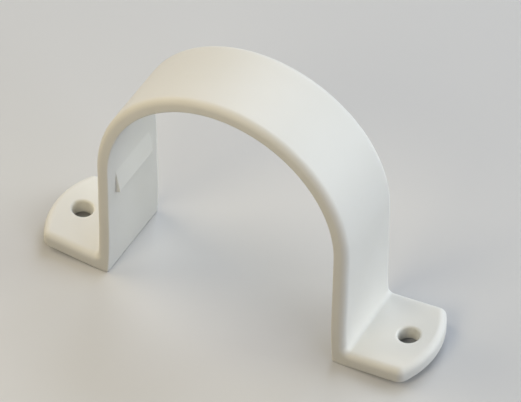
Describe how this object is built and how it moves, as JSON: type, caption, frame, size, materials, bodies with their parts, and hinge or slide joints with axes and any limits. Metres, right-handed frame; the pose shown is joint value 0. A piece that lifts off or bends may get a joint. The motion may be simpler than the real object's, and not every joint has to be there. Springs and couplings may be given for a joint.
{
  "type": "pipe strap",
  "caption": "White moulded plastic pipe strap: an arched band on straight legs, with screw feet that bow outwards and inner pads that snap under the pipe.",
  "frame": {"origin": "on the mounting plane, midway between the screw holes and in the middle of the band's width", "axes": "+X from one foot to the other, +Y along the pipe, +Z away from the mounting plane"},
  "size_m": [0.0888, 0.0208, 0.0565],
  "materials": {
    "white_plastic": "satin white moulded plastic"
  },
  "bodies": {
    "root": {"pipe_strap": "white_plastic"}
  },
  "joints": []
}
